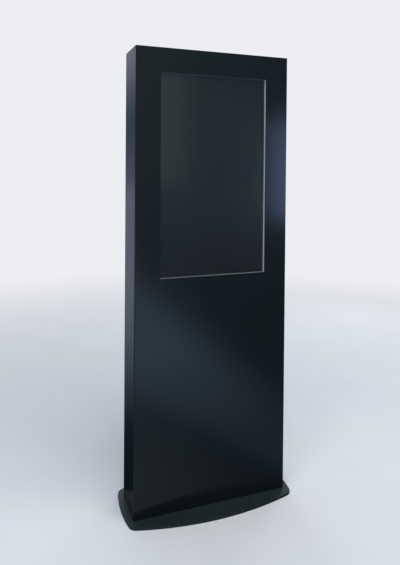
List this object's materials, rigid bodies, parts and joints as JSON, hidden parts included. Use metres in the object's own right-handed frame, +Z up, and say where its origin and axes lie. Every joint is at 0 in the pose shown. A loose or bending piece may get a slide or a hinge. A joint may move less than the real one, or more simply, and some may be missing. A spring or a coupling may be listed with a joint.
{
  "type": "touchscreen kiosk",
  "caption": "Tall slim floor-standing kiosk with a recessed upright touchscreen, a curved foot plate and a lockable service door at the back.",
  "frame": {"origin": "bottom centre of the base plate, on the floor", "axes": "+X to the right seen from the screen side, +Y to the back, +Z up; the screen faces -Y"},
  "size_m": [0.7898, 0.3898, 2.04],
  "materials": {
    "black_powder_coat": "semi-gloss fine-textured black powder coat",
    "base_powder_coat": "matt textured black powder coat",
    "zinc_plated_steel": "zinc plated",
    "steel_fastener": "zinc plated hexagon heads",
    "hinge_steel": "satin steel",
    "anodised_aluminium": "satin anodised",
    "seal_rubber": "closed-cell foam rubber",
    "touch_glass": "smooth toughened glass",
    "clamp_steel": "bright steel",
    "bezel_steel": "matt black",
    "lcd_panel": "dark polariser, switched off",
    "tray_steel": "galvanised pressing",
    "controller_plastic": "matt moulded",
    "player_aluminium": "dark anodised extrusion",
    "black_plastic": "moulded",
    "socket_plastic": "moulded",
    "switch_plastic": "moulded",
    "cable_pvc": "flexible sheath",
    "fan_plastic": "moulded",
    "guard_steel": "bright plated",
    "lock_chrome": "bright plated",
    "cam_steel": "zinc plated",
    "filter_fabric": "pleated synthetic fleece"
  },
  "bodies": {
    "cabinet": {"base_plate": "base_powder_coat", "foot_angles": "zinc_plated_steel", "base_bolts": "steel_fastener", "front_shell": "black_powder_coat", "top_cover": "black_powder_coat", "rear_lower_panel": "black_powder_coat", "door_stop_left": "black_powder_coat", "door_stop_right": "black_powder_coat", "upright_left": "zinc_plated_steel", "upright_right": "zinc_plated_steel", "cross_bars": "zinc_plated_steel", "shell_brackets": "zinc_plated_steel", "frame_bolts": "steel_fastener", "screen_trim_sides": "anodised_aluminium", "screen_trim_ends": "anodised_aluminium", "glass_gasket": "seal_rubber", "touch_glass": "touch_glass", "glass_clamps": "clamp_steel", "lcd_bezel": "bezel_steel", "lcd_cell": "lcd_panel", "backlight_tray": "tray_steel", "display_board_cover": "tray_steel", "display_rail_left": "zinc_plated_steel", "display_rail_right": "zinc_plated_steel", "touch_controller": "controller_plastic", "equipment_shelf": "zinc_plated_steel", "player_case": "player_aluminium", "socket_strip": "socket_plastic", "power_inlet": "black_plastic", "mains_lead": "cable_pvc", "display_lead": "cable_pvc", "player_lead": "cable_pvc", "video_cable": "cable_pvc", "touch_cable": "cable_pvc", "fan_leads": "cable_pvc", "cable_plugs": "cable_pvc", "cable_clips": "black_plastic", "fan_bracket": "zinc_plated_steel", "fan_frame_left": "fan_plastic", "fan_frame_right": "fan_plastic", "fan_guards": "guard_steel", "door_seal": "seal_rubber", "hinge_leaves_fixed": "hinge_steel", "hinge_pins": "hinge_steel", "hinge_screws_fixed": "hinge_steel"},
    "door": {"rear_door": "black_powder_coat", "hinge_leaves_door": "hinge_steel", "hinge_screws_door": "hinge_steel", "lock_barrels": "lock_chrome", "filter_frame": "zinc_plated_steel", "filter_pad": "filter_fabric"},
    "lower_lock": {"lock_plug_lower": "lock_chrome", "lock_cam_lower": "cam_steel"},
    "upper_lock": {"lock_plug_upper": "lock_chrome", "lock_cam_upper": "cam_steel"},
    "rocker": {"power_rocker": "switch_plastic"},
    "player_power_button": {"player_button": "black_plastic"},
    "left_fan": {"fan_rotor_left": "fan_plastic"},
    "right_fan": {"fan_rotor_right": "fan_plastic"}
  },
  "joints": [
    {"name": "rear_door_hinge", "type": "hinge", "parent": "cabinet", "child": "door", "pos_m": [0.339, 0.103, 1.1], "axis": [0, 0, -1], "range_deg": [0, 170]},
    {"name": "lower_lock_turn", "type": "hinge", "parent": "door", "child": "lower_lock", "pos_m": [-0.308, 0.098, 0.56], "axis": [0, -1, 0], "range_deg": [0, 90]},
    {"name": "upper_lock_turn", "type": "hinge", "parent": "door", "child": "upper_lock", "pos_m": [-0.308, 0.098, 1.64], "axis": [0, -1, 0], "range_deg": [0, 90]},
    {"name": "power_switch_rock", "type": "hinge", "parent": "cabinet", "child": "rocker", "pos_m": [0.255, 0.094, 0.059], "axis": [1, 0, 0], "range_deg": [0, 20]},
    {"name": "player_button_press", "type": "slide", "parent": "cabinet", "child": "player_power_button", "axis": [0, -1, 0], "range_m": [0, 0.0015], "stiffness_N_per_m": 300},
    {"name": "left_fan_spin", "type": "hinge", "parent": "cabinet", "child": "left_fan", "pos_m": [-0.15, 0.03, 1.88], "axis": [0, 1, 0], "continuous": true},
    {"name": "right_fan_spin", "type": "hinge", "parent": "cabinet", "child": "right_fan", "pos_m": [0.15, 0.03, 1.88], "axis": [0, 1, 0], "continuous": true}
  ]
}
